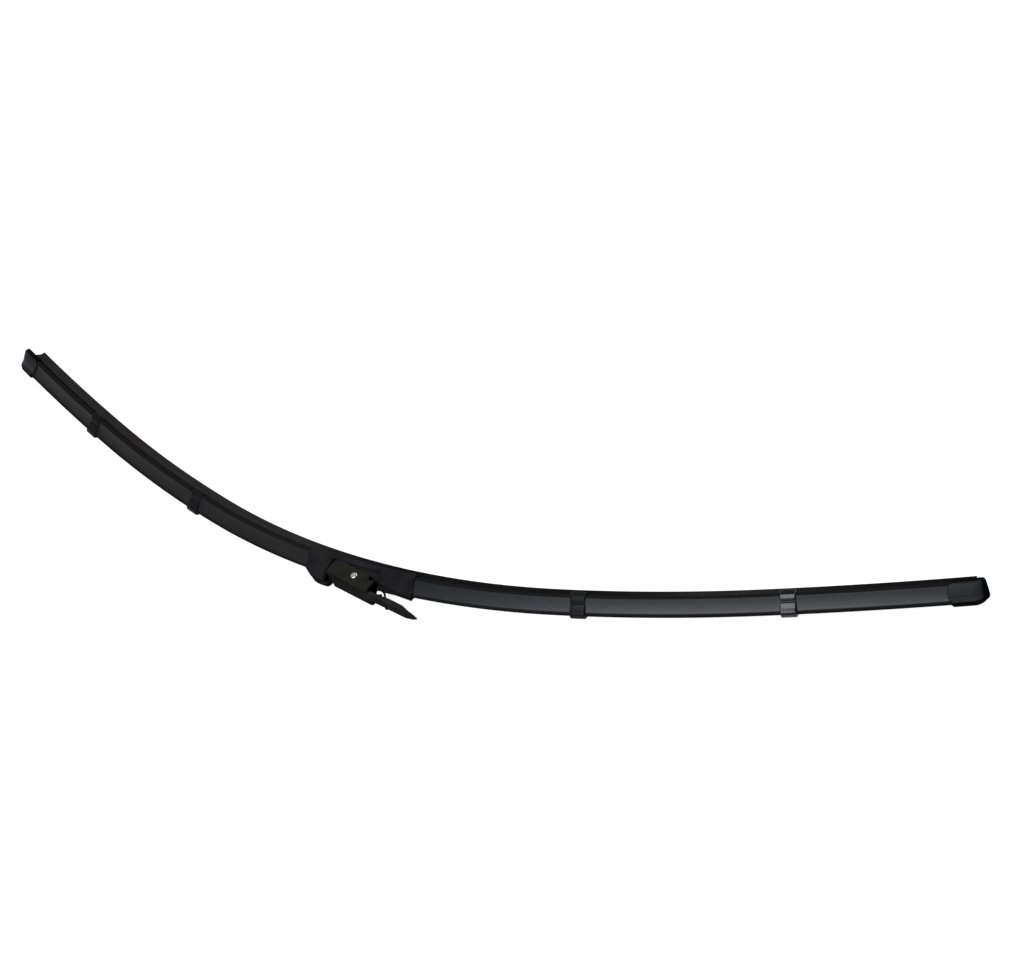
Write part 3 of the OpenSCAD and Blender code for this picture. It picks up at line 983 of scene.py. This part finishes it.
@dataclass(frozen=True)
class Clip(Piece):
    """A clip that wraps the spoiler and hooks under the foot.

    Attributes:
        node: The solid that it stands for.
        middle: Arc length of its middle.
        length: Its length along the blade.
        wall: Its wall at the foot.
        crest: Its wall over the ridge.
        turn: Radius by which its ends are turned down.
        finish: Its lacquer.
    """

    node: str
    middle: float
    length: float = 8.4
    wall: float = 1.0
    crest: float = 1.4
    turn: float = 0.55
    finish: Finish = CLIP_LACQUER

    def build(self, bend: Bend, section: Section) -> None:
        """Sweeps a hooked band, whose outer edges are turned down by a quarter circle.

        Args:
            bend: Centre line of the blade.
            section: Sizes of the blade's section.
        """
        play, hook_gap, edge_round, foot_round, hook_round = 0.05, 0.15, 0.4, 0.7, 0.2
        foot = np.array([[-section.foot_low - self.wall, section.foot_half + self.wall]])
        upper = section.creased(1, self.wall, self.crest)
        lower = section.creased(-1, self.wall, self.crest)[::-1]
        outer = np.concatenate([foot, upper, section.ridge(self.crest), lower, foot * [1, -1]])
        reach = np.full(len(outer), edge_round)
        reach[[0, -1]] = foot_round
        hook = section.claw_half + hook_gap
        ring, outside = section.hooked(outer, reach, self.wall, play, hook, hook_round)
        quarter = np.linspace(0.0, 0.5 * np.pi, 6)
        inset, off = self.turn * (1 - np.sin(quarter)), self.turn * (1 - np.cos(quarter))
        start, end = self.middle - self.length / 2, self.middle + self.length / 2
        flat = even(start + self.turn, end - self.turn, 1.0)[1:-1]
        stations = np.concatenate([start + off, flat, (end - off)[::-1]])
        rings = turned_down(ring, outside, np.concatenate([inset, flat * 0, inset[::-1]]))
        piece = make_piece(f"{self.node}_band", [Shell.swept(bend, stations, rings)])
        hand_over(piece, self.finish, self.node)


@dataclass(frozen=True)
class EndCap(Piece):
    """A moulded cap: a sleeve that is open under the strip, and a domed tip.

    Attributes:
        side: Which end of the blade it closes.
        half: Arc length of its tip.
        length: Its length along the blade.
        wall: Its wall.
        slot_end: Arc length at which the slot for the strip ends.
        ridge_round: Radius of the tip seen from its side, at the ridge.
        glass_round: The same at the glass side.
        bow: Radius of the tip seen from over the ridge.
        mouth_bow: How far the edge of the mouth bows towards the middle on the two faces.
        bulge: How far the two faces bulge.
    """

    side: Side
    half: float = 349.5
    length: float = 17.2
    wall: float = 1.1
    slot_end: float = 343.8
    ridge_round: float = 6.6
    glass_round: float = 1.8
    bow: float = 2.2
    mouth_bow: float = 2.4
    bulge: float = 0.2

    def drawn_in(self, radius: float, stations: Array) -> Array:
        """Draws a side in at each row by a quarter circle: r - sqrt(r^2 - (r-d)^2)."""
        left = np.clip(radius - (self.half - stations), 0.0, radius)
        return radius - np.sqrt(radius**2 - left**2)

    def domed(self, ring: Array, stations: Array) -> Array:
        """Shrinks the outline towards the tip, in height and in width.

        Args:
            ring: The outline at full size.
            stations: Arc lengths of the rows.

        Returns:
            One ring for each row.
        """
        high, low, wide = ring[:, 0].max(), ring[:, 0].min(), np.abs(ring[:, 1]).max()
        top = high - self.drawn_in(self.ridge_round, stations)
        foot = low + self.drawn_in(self.glass_round, stations)
        half = wide - self.drawn_in(self.bow, stations)
        share = (ring[:, 0] - low) / (high - low)
        u = foot[:, None] + (top - foot)[:, None] * share[None]
        c = ring[None, :, 1] * (half / wide)[:, None]
        return np.stack([u, c], -1)

    def lowered(self, rings: Array, stations: Array) -> Array:
        """Lowers the sleeve's ridge as the tip's is lowered, so that the two join.

        Args:
            rings: One ring for each row.
            stations: Arc lengths of the rows.

        Returns:
            The rings, lower at the ridge where the tip's rounding has begun.
        """
        drop = self.drawn_in(self.ridge_round, stations)
        high, low = rings[..., 0].max(), rings[..., 0].min()
        moved = rings.copy()
        moved[..., 0] -= drop[:, None] * (rings[..., 0] - low) / (high - low)
        return moved

    def build(self, bend: Bend, section: Section) -> None:
        """Sweeps the sleeve as a hooked band and the tip as a closed dome.

        The mouth bows by 4h(1-h) of the height h on a face.

        Args:
            bend: Centre line of the blade.
            section: Sizes of the blade's section.
        """
        play, edge_round, hook_round, bow_reach = 0.08, 0.3, 0.15, 8.0
        full = replace(section, hollow=-self.bulge)
        outer, reach = full.outline(self.wall)
        reach = reach + edge_round
        hook = section.claw_half
        band, outside = section.hooked(outer, reach, self.wall, play, hook, hook_round)
        mouth = self.half - self.length
        lip = np.array([0.0, 0.06, 0.2, 0.45])
        rows = np.concatenate([mouth + lip, even(mouth + 1.0, self.slot_end, 1.0)])
        inset = np.zeros(len(rows))
        inset[: len(lip)] = lip[-1] - lip
        sleeve = self.lowered(turned_down(band, outside, inset), rows)
        face_foot, face_top = 0.6, section.ridge_u + section.ridge_radius
        height = np.clip((band[:, 0] - face_foot) / (face_top - face_foot), 0.0, 1.0)
        fade = np.clip(1 - (rows - mouth) / bow_reach, 0.0, 1.0) ** 2
        bowed = rows[:, None] - 4 * self.mouth_bow * fade[:, None] * height * (1 - height)
        dome_length, dome_rows, least = 6.0, 26, 0.05
        tip = self.half - dome_length * (1 - np.sin(np.linspace(0.0, 0.5 * np.pi, dome_rows)))
        tip = np.concatenate([[self.slot_end], tip[tip > self.slot_end + least]])
        dome = self.domed(rounded(outer, reach, 6), tip)
        sign, name = self.side.value, f"{self.side.name.lower()}_end_cap"
        shells = [Shell.swept(bend, bowed * sign, sleeve), Shell.swept(bend, tip * sign, dome)]
        hand_over(make_piece(f"{name}_moulding", shells), CAP_NYLON, name)


def dress(solid: bpy.types.Object, finish: Finish) -> None:
    """Gives one of the frame's own solids its finish. Its mesh stays as it is.

    Args:
        solid: The solid.
        finish: Its finish.
    """
    solid.data.materials.clear()
    solid.data.materials.append(finish.material())
    LOG.info("%s: dressed as it is", solid.name)


@dataclass(frozen=True)
class Connector:
    """The bracket in the middle, the arm adapter that swings on it and their rivet.

    Attributes:
        edge_mm: Reach of the round on the edges.
    """

    edge_mm: float = 0.22

    def soften(self, solid: bpy.types.Object) -> None:
        """Joins a solid's loose triangles and rounds its edges, by modifiers alone.

        Args:
            solid: The frame's own solid.
        """
        weld_mm, flat_deg, edge_deg = 0.001, 1.0, 30.0
        weld = solid.modifiers.new("weld", "WELD")
        weld.merge_threshold = weld_mm * MM
        flat = solid.modifiers.new("flat", "DECIMATE")
        flat.decimate_type, flat.angle_limit = "DISSOLVE", math.radians(flat_deg)
        bevel = solid.modifiers.new("round", "BEVEL")
        bevel.width, bevel.segments = self.edge_mm * MM, 2
        bevel.limit_method, bevel.angle_limit = "ANGLE", math.radians(edge_deg)
        bevel.use_clamp_overlap, bevel.harden_normals = True, True

    def build(self, nodes: dict[str, bpy.types.Object]) -> None:
        """Dresses the three solids of the connector.

        Args:
            nodes: The frame's solids by name.
        """
        finishes = {
            "connector_base": BASE_NYLON, "arm_adapter": ADAPTER_NYLON, "pivot_rivet": PLATED_STEEL
        }
        for name, finish in finishes.items():
            self.soften(nodes[name])
            dress(nodes[name], finish)


@dataclass(frozen=True)
class Lamp:
    """A square soft lamp.

    Attributes:
        name: Name of the lamp.
        place: Where it hangs, in metres.
        aim: Where it looks, in metres.
        size: Its side in metres.
        watts: Its power.
        tint: Hex colour of its light.
    """

    name: str
    place: Three
    aim: Three
    size: float
    watts: float
    tint: str = "#ffffff"

    def hang(self) -> None:
        """Hangs the lamp in the scene."""
        data = bpy.data.lights.new(self.name, "AREA")
        data.size, data.energy, data.color = self.size, self.watts, linear(self.tint)[:3]
        lamp = bpy.data.objects.new(self.name, data)
        lamp.location = self.place
        lamp.rotation_mode = "QUATERNION"
        back = Vector(self.place) - Vector(self.aim)
        lamp.rotation_quaternion = back.to_track_quat("Z", "Y")
        bpy.context.scene.collection.objects.link(lamp)


# The key lights the faces, the sheen lamp puts a cool gloss on the right half, the back lamp
# shines in the rivet's head, and the fill lights the strip and the side of the foot.
LAMPS = (
    Lamp("key_lamp", (0.05, -0.6, 1.1), (0.0, 0.05, 0.0), 0.6, 7.0),
    Lamp("sheen_lamp", (0.0, -0.76, 0.8), (0.175, 0.03, 0.0), 0.5, 1.3, "#d2deff"),
    Lamp("back_lamp", (-0.723, 0.503, 0.825), (0.0, 0.005, 0.0), 0.3, 0.24, "#fff4e8"),
    Lamp("fill_lamp", (0.2, 1.0, 0.9), (0.0, 0.05, 0.0), 0.8, 4.0),
)


@dataclass(frozen=True)
class Studio:
    """The table, the sky and the camera.

    Attributes:
        camera_mm: Place of the camera.
        aim_mm: Point on the table that the middle of the picture shows.
        up: Direction of the picture's upper edge.
        lens_mm: Focal length.
        sensor_mm: Width of the sensor.
        clip_m: Nearest and farthest distance that the camera shows.
        table_m: Size of the table.
        table_grey: Hex colour of the table where the lamps light it.
        white: Strength of the table's own white, to which the lamps add the rest.
        sky: Strength of the even white sky.
    """

    camera_mm: Three = (872.226, -593.732, 991.359)
    aim_mm: Three = (49.153, 91.777, 0.0)
    up: Three = (-0.19700, 0.72225, 0.66298)
    lens_mm: float = 93.612
    sensor_mm: float = 36.0
    clip_m: tuple[float, float] = (0.05, 50.0)
    table_m: float = 12.0
    table_grey: str = "#b8b8b8"
    white: float = 0.94
    sky: float = 0.06

    def camera(self) -> None:
        """Places the camera by its aim and its upper direction."""
        data = bpy.data.cameras.new("camera")
        data.lens, data.sensor_width = self.lens_mm, self.sensor_mm
        data.clip_start, data.clip_end = self.clip_m
        camera = bpy.data.objects.new("camera", data)
        back = (Vector(self.camera_mm) - Vector(self.aim_mm)).normalized()
        right = Vector(self.up).cross(back).normalized()
        up = back.cross(right)
        turn = Matrix((right, up, back)).transposed().to_4x4()
        camera.matrix_world = Matrix.Translation(Vector(self.camera_mm) * MM) @ turn
        bpy.context.scene.collection.objects.link(camera)
        bpy.context.scene.camera = camera

    def table(self, height: float) -> None:
        """Lays a white table under the blade that keeps a faint shadow.

        Its own white shows to the camera and in reflections, and adds no diffuse light.

        Args:
            height: Height of its surface in metres.
        """
        half, turns = self.table_m / 2, ((-1, -1), (1, -1), (1, 1), (-1, 1))
        corners = [(half * x, half * y, height) for x, y in turns]
        mesh = bpy.data.meshes.new("table")
        mesh.from_pydata(corners, [], [(0, 1, 2, 3)])
        table = bpy.data.objects.new("table", mesh)
        bpy.context.scene.collection.objects.link(table)
        made = bpy.data.materials.new("white_table")
        made.use_nodes = True
        tree = made.node_tree
        tree.nodes.clear()
        lit = add(tree, "BsdfDiffuse", {"Color": linear(self.table_grey)})
        white = add(tree, "Emission", {"Color": (1, 1, 1, 1), "Strength": self.white})
        mostly = add(tree, "AddShader", {0: white.outputs[0], 1: lit.outputs[0]})
        path = add(tree, "LightPath", {}).outputs
        seen = calc(tree, "MAXIMUM", path["Is Camera Ray"], path["Is Glossy Ray"])
        seen = calc(tree, "MAXIMUM", seen, path["Is Transmission Ray"])
        both = add(tree, "MixShader", {0: seen, 1: lit.outputs[0], 2: mostly.outputs[0]})
        add(tree, "OutputMaterial", {"Surface": both.outputs[0]})
        mesh.materials.append(made)
        table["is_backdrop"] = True

    def light(self) -> None:
        """Sets an even sky and hangs the lamps."""
        world = bpy.data.worlds.new("sky")
        world.use_nodes = True
        world.node_tree.nodes.clear()
        sky = add(world.node_tree, "Background", {"Color": (1, 1, 1, 1), "Strength": self.sky})
        add(world.node_tree, "OutputWorld", {"Surface": sky.outputs[0]})
        bpy.context.scene.world = world
        for lamp in LAMPS:
            lamp.hang()


def main() -> None:
    """Loads the frame, builds each piece and sets the scene."""
    logging.basicConfig(level=logging.INFO, format="%(message)s")
    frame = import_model()
    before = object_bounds()
    section = Section()
    pivot = np.array(frame["joints"][0]["pos_m"]) / MM
    pivot_s, pivot_height = 0.5, 7.8
    bend = Bend(
        half=350.0,
        radii=(520.0, 1010.0, 2200.0),
        borders=(0.0, 119.0, 231.0, 400.0),
        origin_x=pivot[0] - pivot_s,
        origin_y=pivot[1] + pivot_height,
    )
    inner_share, outer_share = 0.388, 0.713
    pieces: list[Piece] = [Spoiler(Side.LEFT), Spoiler(Side.RIGHT), WipingStrip()]
    for side in Side:
        name, way = side.name.lower(), side.value * bend.half
        lacquer = BRIGHT_LACQUER if side is Side.RIGHT else CLIP_LACQUER
        pieces.append(Clip(f"{name}_inner_clip", inner_share * way))
        pieces.append(Clip(f"{name}_outer_clip", outer_share * way, finish=lacquer))
        pieces.append(EndCap(side))
    for piece in pieces:
        piece.build(bend, section)
    Connector().build(frame["nodes"])
    for node in ("front_rail", "back_rail"):
        dress(frame["nodes"][node], BLUED_STEEL)
    studio = Studio()
    studio.camera()
    studio.table(before[0].z)
    studio.light()
    bpy.context.scene.view_settings.view_transform = "Standard"


if __name__ == "__main__":
    main()
